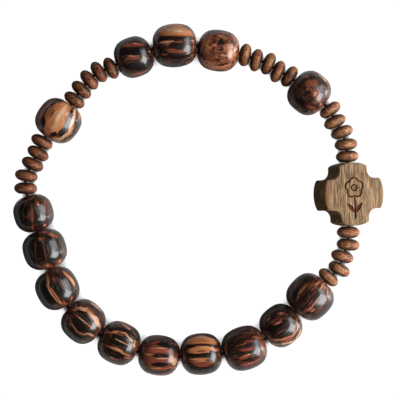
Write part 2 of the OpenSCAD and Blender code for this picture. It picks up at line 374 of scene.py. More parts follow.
@dataclass(frozen=True)
class Palmwood:
    """Palmwood, turned, sanded and lacquered: near-black fibre bundles in red-brown to tan ground wood.

    The lacquer gives the eye a soft, squarish light patch over the grain.
    """

    flecks: tuple[Fleck, ...]
    ground: float = 0.5
    tan_share: float = 0.25
    seed: float = 0.0
    grain: Grain = Grain.ALONG
    bundle: float = 0.95
    bow: float = 4.7
    deepest: float = 0.12
    ends: float = 0.7

    def material(self, name: str, stance: Stance) -> bpy.types.Material:
        """Builds the finish for one bead.

        Args:
            name: the bead's node name, which sets this piece of wood apart.
            stance: where the bead sits.

        Returns:
            The material.
        """
        material, tree, shader = new_material(f"lacquered_palmwood_{name}")
        local = placed(tree, stance.middle, (0, 0, stance.bearing))
        wood = add_node(tree, "ShaderNodeVectorMath", {0: local, 1: (self.seed * 7.3, self.seed * 3.1, self.seed * 5.7)},
                        operation="ADD").outputs[0]
        fine = self.fine_grain(tree, wood)
        colour = self.ground_wood(tree, wood, fine)
        colour = self.cut_ends(tree, local, wood, colour)
        charted = self.thin_lines(tree, wood, self.charted(tree, local, colour, stance))
        height = add_node(tree, "ShaderNodeSeparateXYZ", {0: local}).outputs[2]
        upper = fade(tree, height, -0.8, 0.8)
        colour = mix_colour(tree, upper, colour, charted)
        streaks = fade(tree, fine, 0.25, 0.75, 0.72, 1.22)
        colour = mix_colour(tree, 1.0, colour, streaks, "MULTIPLY")
        bump = add_node(tree, "ShaderNodeBump", {"Height": fine, "Strength": 0.12, "Distance": 0.03 * MM})
        tree.links.new(colour, shader.inputs["Base Color"])
        tree.links.new(bump.outputs[0], shader.inputs["Normal"])
        shader.inputs["Roughness"].default_value = 0.4
        shader.inputs["Specular IOR Level"].default_value = 0.2
        shader.inputs["Coat Weight"].default_value = 1.0
        shader.inputs["Coat Roughness"].default_value = 0.19
        shader.inputs["Coat IOR"].default_value = 1.5
        return material

    def thin_lines(self, tree: bpy.types.NodeTree, wood, colour):
        """Draws hair-fine lighter lines along the fibres."""
        x, y, z = self.grain.value
        tint = add_node(tree, "ShaderNodeTexNoise", {"Vector": wood, "Scale": 0.6, "Detail": 0.0}).outputs[0]
        lines = ramp(tree, tint, [(0.42, "5A2C20"), (0.52, "4A3428"), (0.62, "524A3C")])
        spread = add_node(tree, "ShaderNodeMapping", {"Vector": wood, "Scale": (
            x * x * 1.4, y * y * 1.4, z * z * 1.4)}).outputs[0]
        value = add_node(tree, "ShaderNodeTexNoise", {"Vector": spread, "Scale": 1.0, "Detail": 0.0}).outputs[0]
        away = maths(tree, "ABSOLUTE", maths(tree, "SUBTRACT", value, 0.5))
        return mix_colour(tree, fade(tree, away, 0.03, 0.008, 0.0, 0.7), colour, lines, "LIGHTEN")

    def cut_ends(self, tree: bpy.types.NodeTree, local, wood, colour):
        """Speckles the two ends, where the fibres are cut across, with red and pink on brown."""
        along = add_node(tree, "ShaderNodeSeparateXYZ", {0: local}).outputs[0]
        specks = add_node(tree, "ShaderNodeTexNoise", {"Vector": wood, "Scale": 2.3, "Detail": 2.0}).outputs[0]
        cut = ramp(tree, specks, [(0.36, Tone.BLACK.value), (0.46, Tone.UMBER.value), (0.56, Tone.RED.value),
                                  (0.68, "B87A62")])
        reach = maths(tree, "ADD", maths(tree, "ABSOLUTE", along), maths(tree, "MULTIPLY", specks, 0.9))
        return mix_colour(tree, fade(tree, reach, 3.45, 3.95, 0.0, self.ends), colour, cut)

    def fine_grain(self, tree: bpy.types.NodeTree, wood):
        """Fine fibres about 0.2 mm apart, as coarse as the photograph still shows them."""
        x, y, z = self.grain.value
        spread = add_node(tree, "ShaderNodeMapping", {"Vector": wood, "Scale": (x * 1.2, y * 4.5, z * 4.5)})
        return add_node(tree, "ShaderNodeTexNoise", {"Vector": spread.outputs[0], "Scale": 1.0, "Detail": 2.0}).outputs[0]

    def ground_wood(self, tree: bpy.types.NodeTree, wood, fine):
        """The wood as it grows: dark bundles a bundle's width apart with lighter wood between them.

        Args:
            tree: the material's node tree.
            wood: coordinates in millimetres.
            fine: the fine grain's value.

        Returns:
            The colour socket.
        """
        wander = add_node(tree, "ShaderNodeTexNoise", {"Vector": wood, "Scale": 0.75, "Detail": 1.5})
        shift = add_node(tree, "ShaderNodeVectorMath", {0: wander.outputs[1], 1: (0.9, 0.9, 0.9), 2: wood},
                         operation="MULTIPLY_ADD")
        cells = add_node(tree, "ShaderNodeMapping", {
            "Vector": shift.outputs[0], "Scale": tuple(s / self.bundle for s in self.grain.value)}).outputs[0]
        edge = add_node(tree, "ShaderNodeTexVoronoi", {"Vector": cells, "Scale": 1.0},
                        feature="DISTANCE_TO_EDGE").outputs["Distance"]
        each = add_node(tree, "ShaderNodeTexVoronoi", {"Vector": cells, "Scale": 1.0}, feature="F1").outputs["Color"]
        chance = add_node(tree, "ShaderNodeSeparateColor", {0: each})
        light_cell = fade(tree, chance.outputs[0], self.tan_share + 0.06, self.tan_share - 0.06)
        inside = fade(tree, edge, 0.03, 0.2)
        dark = maths(tree, "MULTIPLY", inside, maths(tree, "SUBTRACT", 1.0, light_cell))
        patch = add_node(tree, "ShaderNodeTexNoise", {"Vector": wood, "Scale": 0.35, "Detail": 1.0}).outputs[0]
        between = maths(tree, "MULTIPLY_ADD", patch, 0.9)
        between.node.inputs[2].default_value = self.ground - 0.45
        tone = maths(tree, "MULTIPLY", between, fade(tree, dark, 0.0, 1.0, 1.0, self.deepest))
        tone = maths(tree, "ADD", tone, fade(tree, fine, 0.2, 0.8, -0.1, 0.1))
        return ramp(tree, tone, [
            (0.0, Tone.BLACK.value), (0.22, Tone.DARK.value), (0.4, Tone.UMBER.value),
            (0.52, Tone.RUST.value), (0.72, Tone.ORANGE.value), (0.92, Tone.TAN.value)])

    def charted(self, tree: bpy.types.NodeTree, local, colour, stance: Stance):
        """Lays the flecks listed for this bead over its ground wood.

        Args:
            tree: the material's node tree.
            local: the bead's own coordinates in millimetres.
            colour: the ground wood's colour.
            stance: where the bead sits.

        Returns:
            The colour socket.
        """
        ragged = add_node(tree, "ShaderNodeMapping", {"Vector": local, "Scale": (0.5, 3.2, 3.2)}).outputs[0]
        fray = add_node(tree, "ShaderNodeTexNoise", {"Vector": ragged, "Scale": 1.0, "Detail": 2.0,
                                                     "Roughness": 0.6}).outputs[1]
        loose = add_node(tree, "ShaderNodeVectorMath", {0: fray, 1: (1.1, 0.22, 0.0), 2: local},
                         operation="MULTIPLY_ADD").outputs[0]
        split = add_node(tree, "ShaderNodeSeparateXYZ", {0: loose})
        along = maths(tree, "SUBTRACT", split.outputs[0], 0.55)
        across = maths(tree, "SUBTRACT", split.outputs[1], 0.11)
        share = maths(tree, "DIVIDE", along, self.bow)
        narrow = maths(tree, "SQRT", maths(tree, "SUBTRACT", 1.0, maths(tree, "MINIMUM", maths(
            tree, "MULTIPLY", share, share), 0.8)))
        spread = maths(tree, "DIVIDE", across, narrow)
        chart = add_node(tree, "ShaderNodeCombineXYZ", {0: along, 1: spread}).outputs[0]
        cos, sin = math.cos(stance.bearing), math.sin(stance.bearing)
        for fleck in self.flecks:
            u = fleck.right * cos + fleck.up * sin
            v = (fleck.up * cos - fleck.right * sin) / math.sqrt(1 - min((u / self.bow) ** 2, 0.8))
            near = add_node(tree, "ShaderNodeMapping", {
                "Vector": chart, "Location": (u, v, 0),
                "Rotation": (0, 0, math.radians(fleck.lean) - stance.bearing),
                "Scale": (fleck.long / 2, fleck.wide / 2, 1)}, vector_type="TEXTURE").outputs[0]
            away = add_node(tree, "ShaderNodeVectorMath", {0: near}, operation="LENGTH").outputs["Value"]
            colour = mix_colour(tree, fade(tree, away, 1.2, 0.8), colour, linear(fleck.tone.value))
        return colour


@dataclass(frozen=True)
class WaxedWood:
    """Brown hardwood, turned and waxed: fine lines, red flushes, a satin sheen along each rim, and painted shade:
    colour lighter at the middle and darker towards both ends of the bore, where the beads meet, with some stain in the
    seams.
    """

    light: str
    middle: str
    dark: str

    def material(self, name: str, stance: Stance, seed: float) -> bpy.types.Material:
        """Builds the finish for one spacer bead.

        Args:
            name: the bead's node name.
            stance: where the bead sits.
            seed: sets this piece of wood apart.

        Returns:
            The material.
        """
        material, tree, shader = new_material(f"waxed_hardwood_{name}")
        local = placed(tree, stance.middle, (0, 0, stance.bearing))
        wood = add_node(tree, "ShaderNodeVectorMath", {0: local, 1: (seed * 4.1, seed * 6.7, seed * 2.9)},
                        operation="ADD").outputs[0]
        lines = add_node(tree, "ShaderNodeMapping", {
            "Vector": wood, "Rotation": (0.3, 0, seed * 1.7), "Scale": (5.5, 0.9, 5.5)}).outputs[0]
        fine = add_node(tree, "ShaderNodeTexNoise", {"Vector": lines, "Scale": 1.0, "Detail": 3.0}).outputs[0]
        patch = add_node(tree, "ShaderNodeTexNoise", {"Vector": wood, "Scale": 0.5, "Detail": 1.0}).outputs[0]
        tone = maths(tree, "ADD", maths(tree, "MULTIPLY", fine, 0.8), maths(tree, "MULTIPLY", patch, 0.3))
        colour = ramp(tree, tone, [(0.36, self.dark), (0.5, self.middle), (0.64, self.light)])
        flush = add_node(tree, "ShaderNodeTexNoise", {"Vector": wood, "Scale": 0.8, "Detail": 1.0}).outputs[0]
        colour = mix_colour(tree, fade(tree, flush, 0.5, 0.66, 0.0, 0.5), colour, linear("7A3620"))
        # Painted shade: the colour is made darker towards both ends of the bore, where the beads meet, with some stain
        # in the seams, and a little lighter at the middle.
        side = maths(tree, "ABSOLUTE", add_node(tree, "ShaderNodeSeparateXYZ", {0: local}).outputs[0])
        colour = mix_colour(tree, 1.0, colour, fade(tree, side, 0.25, 0.95, 1.2, 0.25), "MULTIPLY")
        bump = add_node(tree, "ShaderNodeBump", {"Height": fine, "Strength": 0.3, "Distance": 0.05 * MM})
        tree.links.new(colour, shader.inputs["Base Color"])
        tree.links.new(bump.outputs[0], shader.inputs["Normal"])
        shader.inputs["Roughness"].default_value = 0.45
        shader.inputs["Specular IOR Level"].default_value = 0.2
        shader.inputs["Coat Weight"].default_value = 0.05
        shader.inputs["Coat Roughness"].default_value = 0.3
        return material


@dataclass(frozen=True)
class PaleHardwood:
    """Pale hardwood, cut by laser and left bare: fine upright grain, and walls that the cut browned."""

    def material(self, middle: Vector, turn: Iterable[float], face: Vector) -> bpy.types.Material:
        """Builds the finish of the cross.

        Args:
            middle: the cross's middle, in metres.
            turn: its Euler turn.
            face: the way its engraved face looks.

        Returns:
            The material.
        """
        material, tree, shader = new_material("laser_cut_pale_hardwood")
        wood = placed(tree, middle, turn)
        lines = add_node(tree, "ShaderNodeMapping", {"Vector": wood, "Scale": (7.5, 0.45, 7.5)}).outputs[0]
        fine = add_node(tree, "ShaderNodeTexNoise", {"Vector": lines, "Scale": 1.0, "Detail": 3.0}).outputs[0]
        broad = add_node(tree, "ShaderNodeMapping", {"Vector": wood, "Scale": (1.4, 0.2, 1.4)}).outputs[0]
        bands = add_node(tree, "ShaderNodeTexNoise", {"Vector": broad, "Scale": 1.0, "Detail": 1.0}).outputs[0]
        tone = maths(tree, "ADD", maths(tree, "MULTIPLY", fine, 0.85), maths(tree, "MULTIPLY", bands, 0.2))
        front = ramp(tree, tone, [(0.38, "422E1B"), (0.48, "664E36"), (0.57, "866C4E"), (0.68, "A68B66")])
        spots = add_node(tree, "ShaderNodeMapping", {"Vector": wood, "Scale": (3.2, 1.3, 3.2)}).outputs[0]
        warm = add_node(tree, "ShaderNodeTexNoise", {"Vector": spots, "Scale": 1.0, "Detail": 1.0}).outputs[0]
        front = mix_colour(tree, fade(tree, warm, 0.56, 0.7, 0.0, 0.45), front, linear("A0683A"))
        across = add_node(tree, "ShaderNodeSeparateXYZ", {0: wood}).outputs[0]
        # The face is darkened over about its last millimetre towards the −x arm end, ragged by the warm spots.
        toward_low_x_end = maths(tree, "ADD", across, maths(tree, "MULTIPLY", warm, 1.2))
        front = mix_colour(tree, fade(tree, toward_low_x_end, -5.4, -4.2, 0.75, 0.0), front, linear("6A3820"))
        wall = ramp(tree, tone, [(0.4, "503A26"), (0.52, "7A5E40"), (0.64, "A2825C")])
        normal = add_node(tree, "ShaderNodeNewGeometry").outputs["Normal"]
        facing = add_node(tree, "ShaderNodeVectorMath", {0: normal, 1: face}, operation="DOT_PRODUCT").outputs["Value"]
        colour = mix_colour(tree, fade(tree, maths(tree, "ABSOLUTE", facing), 0.45, 0.85), wall, front)
        bump = add_node(tree, "ShaderNodeBump", {"Height": fine, "Strength": 0.35, "Distance": 0.05 * MM})
        tree.links.new(colour, shader.inputs["Base Color"])
        tree.links.new(bump.outputs[0], shader.inputs["Normal"])
        shader.inputs["Roughness"].default_value = 0.6
        shader.inputs["Specular IOR Level"].default_value = 0.15
        return material

    @staticmethod
    def burnt() -> bpy.types.Material:
        """Builds the laser-burnt floor of the engraving: matt dark brown with a little char."""
        material, tree, shader = new_material("laser_burnt_hardwood")
        coordinates = add_node(tree, "ShaderNodeTexCoord").outputs["Object"]
        char = add_node(tree, "ShaderNodeTexNoise", {"Vector": coordinates, "Scale": 4 / MM, "Detail": 2.0}).outputs[0]
        tree.links.new(ramp(tree, char, [(0.3, "34170B"), (0.7, "66301C")]), shader.inputs["Base Color"])
        shader.inputs["Roughness"].default_value = 0.8
        shader.inputs["Specular IOR Level"].default_value = 0.1
        return material


@dataclass(frozen=True)
class ElasticCord:
    """Dark brown elastic thread: a rubber core wound with fine yarn."""

    pitch: float = 0.35

    def material(self) -> bpy.types.Material:
        """Builds the cord's finish, with the yarn's turns a third of a millimetre apart."""
        material, tree, shader = new_material("brown_elastic_yarn")
        coordinates = add_node(tree, "ShaderNodeTexCoord").outputs["Object"]
        yarn = add_node(tree, "ShaderNodeTexNoise", {"Vector": coordinates, "Scale": 1 / (self.pitch * MM), "Detail": 1.0})
        tree.links.new(ramp(tree, yarn.outputs[0], [(0.3, "1C120E"), (0.7, "3C281C")]), shader.inputs["Base Color"])
        shader.inputs["Roughness"].default_value = 0.6
        return material


@dataclass
class TurnedBead:
    """A drilled bead turned on a lathe, in millimetres: an arc at the middle that runs into an arc at each end."""

    reach: float
    half: float
    middle_r: float
    shoulder_r: float
    bore_r: float = 0.85
    bore_lip: float = 0.18
    middle_steps: int = 14
    shoulder_steps: int = 12
    turns: int = 128

    def outline(self) -> tuple[float, float, float, float]:
        """Works out the straight-sided outline that the arcs are cut from.

        Returns:
            How far the corner and the middle point stand from the bore's line, and how far each is cut back.
        """
        lean = math.asin((self.half - self.shoulder_r) / (self.middle_r - self.shoulder_r))
        touch_x = self.reach - self.middle_r * (1 - math.cos(lean))
        touch_z = self.middle_r * math.sin(lean)
        tip = touch_x + touch_z * math.tan(lean)
        corner = touch_x - (self.half - touch_z) * math.tan(lean)
        return corner, tip, touch_z / math.cos(lean), (self.half - touch_z) / math.cos(lean)

    def build(self, name: str) -> bpy.types.Object:
        """Turns the bead round the z axis, centred on the origin.

        Args:
            name: the new object's name.

        Returns:
            The bead, in millimetres.
        """
        corner, tip, tip_back, corner_back = self.outline()
        Bench.clear()
        bpy.ops.mesh.primitive_plane_add(size=1, rotation=(math.pi / 2, 0, 0), location=((corner + self.bore_r) / 2, 0, 0))
        bead = bpy.context.object
        bead.name = bead.data.name = name
        bead.scale = (corner - self.bore_r, 2 * self.half, 1)
        Bench.apply(bead)
        Bench.edit(bead)
        Bench.pick(bead, lambda p: p.x > corner - 0.01, "EDGE")
        bpy.ops.mesh.subdivide(number_cuts=1)
        Bench.pick(bead, lambda p: p.x > corner - 0.01 and abs(p.z) < 0.01)
        bpy.ops.transform.translate(value=(tip - corner, 0, 0))
        Bench.round_points(bead, lambda p: p.x > corner + 0.01, tip_back - 0.001, self.middle_steps)
        Bench.round_points(bead, lambda p: abs(p.z) > self.half - 0.001 and p.x > self.bore_r + 0.01,
                           corner_back - 0.001, self.shoulder_steps)
        Bench.round_points(bead, lambda p: p.x < self.bore_r + 0.001, self.bore_lip, 3)
        bpy.ops.mesh.select_all(action="SELECT")
        bpy.ops.mesh.delete(type="ONLY_FACE")
        bpy.ops.mesh.select_all(action="SELECT")
        bpy.ops.mesh.spin(steps=self.turns, angle=2 * math.pi, center=(0, 0, 0), axis=(0, 0, 1))
        Bench.tidy(bead, 50)
        return bead


@dataclass
class PalmBeads:
    """The fifteen palmwood beads, each turned to its own size and dressed in its own piece of wood."""

    finishes: dict[str, Palmwood]
    belly_r: float = 6.0
    shoulder_r: float = 2.8

    def build(self) -> None:
        """Turns, seats and dresses every bead."""
        for node, finish in self.finishes.items():
            stance = Stance.of(node)
            bead = TurnedBead(stance.radius / MM, stance.length / MM / 2, self.belly_r, self.shoulder_r).build(
                f"{node}_turned")
            Bench.seat(bead, stance.middle, stance.turn())
            show(bead, node, finish.material(node, stance))


@dataclass
class SpacerBeads:
    """The twenty-five flat spacer beads, turned once and copied; each run of five is of one stain."""

    runs: tuple[WaxedWood, ...]
    per_run: int = 5
    rim_r: float = 0.8
    shoulder_r: float = 1.35

    def build(self) -> None:
        """Turns one bead, then copies, seats and dresses all of them."""
        nodes = [f"spacer_bead_{rank:02d}" for rank in range(1, self.per_run * len(self.runs) + 1)]
        first = Stance.of(nodes[0])
        pattern = TurnedBead(first.radius / MM, first.length / MM / 2, self.rim_r, self.shoulder_r,
                             middle_steps=8, shoulder_steps=6, turns=72).build("spacer_pattern")
        for rank, node in enumerate(nodes):
            stance = Stance.of(node)
            bead = pattern.copy()
            bead.data = pattern.data.copy()
            bead.name = bead.data.name = f"{node}_turned"
            bpy.context.collection.objects.link(bead)
            Bench.seat(bead, stance.middle, stance.turn())
            show(bead, node, self.runs[rank // self.per_run].material(node, stance, rank + 1))
        bpy.data.objects.remove(pattern)


@dataclass
class CrossBead:
    """The thick cross with bowed arm ends, scooped corners and a rose engraved on its face, in millimetres."""

    node: str = "cross_bead"
    width: float = 12.4
    height: float = 12.0
    thick: float = 5.2
    arm: float = 5.8
    end_r: float = 6.4
    corner_r: float = 0.4
    scoop_r: float = 1.6
    rim: float = 0.22
    bore_r: float = 0.85
    groove: float = 0.32
    depth: float = 0.25
    petals: int = 5
    petal_r: float = 0.85
    petal_reach: float = 1.05
    heart_r: float = 0.55
    flower_rise: float = 1.2
    stem_drop: float = 4.6
    leaf_long: float = 2.5
    leaf_wide: float = 0.9
    leaf_angle: float = 50.0

    def stance(self) -> tuple[Vector, tuple[float, float, float], Vector]:
        """Reads where the cross sits from its CAD node's broad face.

        Returns:
            Its middle, its Euler turn and the way its face looks.
        """
        low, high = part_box(self.node)
        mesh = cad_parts[self.node].data
        widest = max((p for p in mesh.polygons if p.normal.z > 0.5), key=lambda p: p.area)
        face = widest.normal.copy()
        return (low + high) / 2, (0.0, math.acos(face.z), math.atan2(face.y, face.x)), face

    def blank(self) -> bpy.types.Object:
        """Cuts the cross's outline and gives it its thickness and eased rims.

        Returns:
            The plain cross, lying on its back at the origin.
        """
        side = self.arm / 2
        swing = math.asin(side / self.end_r)
        bow = self.end_r * (1 / math.cos(swing) - 1)
        dip = self.end_r * (1 - math.cos(swing))
        ease = self.corner_r * math.tan((math.pi / 2 - swing) / 2)
        Bench.clear()
        bpy.ops.mesh.primitive_plane_add(size=self.arm)
        cross = bpy.context.object
        cross.name = cross.data.name = "cross_blank"
        Bench.edit(cross)
        for way, reach in ((Vector((1, 0, 0)), self.width / 2), (Vector((-1, 0, 0)), self.width / 2),
                           (Vector((0, 1, 0)), self.height / 2), (Vector((0, -1, 0)), self.height / 2)):
            Bench.pick(cross, lambda p, way=way: p.dot(way) > side - 0.01
                       and (p - way * p.dot(way)).length < 0.01, "EDGE")
            bpy.ops.mesh.extrude_region_move(TRANSFORM_OT_translate={"value": way * (reach - dip - side)})
            bpy.ops.mesh.subdivide(number_cuts=1)
            Bench.pick(cross, lambda p, way=way, reach=reach: p.dot(way) > reach - dip - 0.01
                       and (p - way * p.dot(way)).length < 0.01)
            bpy.ops.transform.translate(value=way * (dip + bow))
        bpy.ops.mesh.select_mode(type="FACE")
        bpy.ops.mesh.select_all(action="SELECT")
        bpy.ops.mesh.dissolve_faces()
        tips = self.end_r * math.tan(swing)
        Bench.round_points(cross, lambda p: min(abs(p.x), abs(p.y)) < 0.01, tips - ease - 0.02, 16)
        Bench.round_points(cross, lambda p: abs(min(abs(p.x), abs(p.y)) - side) < 0.01
                           and max(abs(p.x), abs(p.y)) > side + 0.5, ease, 4)
        Bench.round_points(cross, lambda p: abs(abs(p.x) - side) < 0.01 and abs(abs(p.y) - side) < 0.01,
                           self.scoop_r, 12)
        bpy.ops.mesh.select_all(action="SELECT")
        bpy.ops.transform.translate(value=(0, 0, -self.thick / 2))
        bpy.ops.mesh.extrude_region_move(TRANSFORM_OT_translate={"value": (0, 0, self.thick)})
        Bench.pick(cross, lambda p: abs(p.z) > self.thick / 2 - 0.001, "EDGE")
        bpy.ops.mesh.bevel(offset=self.rim, segments=3, profile=0.5, affect="EDGES")
        bpy.ops.mesh.select_mode(type="FACE")
        bpy.ops.mesh.select_all(action="SELECT")
        bpy.ops.mesh.quads_convert_to_tris(quad_method="BEAUTY", ngon_method="BEAUTY")
        bpy.ops.object.mode_set(mode="OBJECT")
        return cross

    def cutter(self, name: str, burnt: bpy.types.Material) -> bpy.types.Object:
        """Names the newest primitive and gives it the burnt finish that it leaves behind."""
        made = bpy.context.object
        made.name = name
        made.data.materials.append(burnt)
        return made

    def arc_cutter(self, x: float, y: float, radius: float, start: float, sweep: float, depth: float,
                   burnt: bpy.types.Material) -> bpy.types.Object:
        """Spins the groove's square section along an arc on the cross's face.

        Args:
            x: the arc's middle across the face.
            y: the arc's middle up the face.
            radius: the arc's radius.
            start: the bearing it starts at, in degrees.
            sweep: how far it runs, in degrees. With no window open, spin runs clockwise.
            depth: the groove's depth. No two grooves that cross share one, so that no floors coincide.
            burnt: the finish it leaves.

        Returns:
            The cutter.
        """
        Bench.clear()
        begin = math.radians(start)
        bpy.ops.mesh.primitive_plane_add(
            size=1, rotation=(math.pi / 2, 0, begin),
            location=(x + radius * math.cos(begin), y + radius * math.sin(begin), self.thick / 2))
        made = self.cutter("arc", burnt)
        made.scale = (self.groove, 2 * depth, 1)
        Bench.apply(made)
        Bench.edit(made)
        bpy.ops.mesh.select_all(action="SELECT")
        closed = sweep >= 360
        if closed:
            bpy.ops.mesh.delete(type="ONLY_FACE")
            bpy.ops.mesh.select_all(action="SELECT")
        bpy.ops.mesh.spin(steps=max(8, round(sweep / 9)), angle=math.radians(sweep), center=(x, y, 0), axis=(0, 0, 1))
        bpy.ops.mesh.select_all(action="SELECT")
        bpy.ops.mesh.remove_doubles(threshold=0.0005)
        bpy.ops.mesh.normals_make_consistent(inside=False)
        bpy.ops.object.mode_set(mode="OBJECT")
        return made

    def block_cutter(self, x: float, y: float, long: float, wide: float, turn: float, depth: float,
                     burnt: bpy.types.Material) -> bpy.types.Object:
        """Makes a straight groove's cutter, its length along a bearing on the face in degrees."""
        Bench.clear()
        bpy.ops.mesh.primitive_cube_add(size=1, location=(x, y, self.thick / 2), rotation=(0, 0, math.radians(turn)))
        made = self.cutter("bar", burnt)
        made.scale = (long, wide, 2 * depth)
        Bench.apply(made)
        return made

    def leaf_cutter(self, side: int, burnt: bpy.types.Material) -> bpy.types.Object:
        """Makes a leaf with a point at each end, its foot on the stem.

        Args:
            side: 1 for the right leaf, -1 for the left.
            burnt: the finish it leaves.

        Returns:
            The cutter.
        """
        turn = math.radians(self.leaf_angle if side > 0 else 180 - self.leaf_angle)
        foot = Vector((0, -self.stem_drop / 2 - self.leaf_long / 2, self.thick / 2))
        Bench.clear()
        bpy.ops.mesh.primitive_plane_add(size=1)
        made = self.cutter("leaf", burnt)
        Bench.edit(made)
        bpy.ops.mesh.select_all(action="SELECT")
        bpy.ops.transform.rotate(value=math.pi / 4, orient_axis="Z", center_override=(0, 0, 0))
        bpy.ops.transform.resize(value=(self.leaf_long / math.sqrt(2), self.leaf_wide * math.sqrt(2), 1),
                                 center_override=(0, 0, 0))
        Bench.round_points(made, lambda p: abs(p.x) < 0.01,
                           0.95 * math.hypot(self.leaf_long / 2, self.leaf_wide), 8)
        bpy.ops.mesh.select_all(action="SELECT")
        depth = (0.95 + 0.04 * side) * self.depth
        bpy.ops.transform.translate(value=(0, 0, -depth))
        bpy.ops.mesh.extrude_region_move(TRANSFORM_OT_translate={"value": (0, 0, 2 * depth)})
        bpy.ops.mesh.select_all(action="SELECT")
        bpy.ops.mesh.normals_make_consistent(inside=False)
        bpy.ops.object.mode_set(mode="OBJECT")
        made.rotation_euler = Euler((0, 0, turn))
        made.location = foot + Vector((math.cos(turn), math.sin(turn), 0)) * self.leaf_long / 2
        Bench.apply(made)
        return made

    def engrave(self, cross: bpy.types.Object, burnt: bpy.types.Material) -> None:
        """Cuts the rose, its stem and its two leaves into the face, in one cut."""
        apart = self.petal_reach * math.sin(math.pi / self.petals)
        shown = 90 + 180 / self.petals - math.degrees(math.acos(apart / self.petal_r))
        cutters = []
        for k in range(self.petals):
            bearing = 90 + k * 360 / self.petals
            cutters.append(self.arc_cutter(
                self.petal_reach * math.cos(math.radians(bearing)),
                self.flower_rise + self.petal_reach * math.sin(math.radians(bearing)),
                self.petal_r, bearing + shown, 2 * shown, self.depth * (1 + 0.01 * k), burnt))
        cutters.append(self.arc_cutter(0, self.flower_rise, self.heart_r, 0, 360, 0.9 * self.depth, burnt))
        cutters.append(self.block_cutter(0, self.flower_rise, 0.3, 0.3, 45, self.depth, burnt))
        stem_top = self.flower_rise - self.petal_reach - self.petal_r * math.cos(math.pi / self.petals) + self.groove
        cutters.append(self.block_cutter(
            0, (stem_top - self.stem_drop) / 2, stem_top + self.stem_drop, self.groove, 90, 1.1 * self.depth, burnt))
        cutters.extend(self.leaf_cutter(side, burnt) for side in (1, -1))
        Bench.clear()
        for cutter in cutters:
            cutter.select_set(True)
        bpy.context.view_layer.objects.active = cutters[0]
        bpy.ops.object.join()
        Bench.cut(cross, bpy.context.object, True)

    def build(self) -> None:
        """Shapes, drills, engraves, seats and dresses the cross."""
        middle, turn, face = self.stance()
        cross = self.blank()
        Bench.tidy(cross, 40)
        burnt = PaleHardwood.burnt()
        wood = PaleHardwood().material(middle, turn, face)
        cross.data.materials.append(wood)
        Bench.clear()
        bpy.ops.mesh.primitive_cylinder_add(vertices=48, radius=self.bore_r, depth=2 * self.height,
                                            rotation=(math.pi / 2, 0, 0))
        Bench.cut(cross, bpy.context.object, False)
        self.engrave(cross, burnt)
        Bench.tidy(cross, 40)
        cross.name = cross.data.name = f"{self.node}_engraved"
        Bench.seat(cross, middle, turn)
        show(cross, self.node, wood)


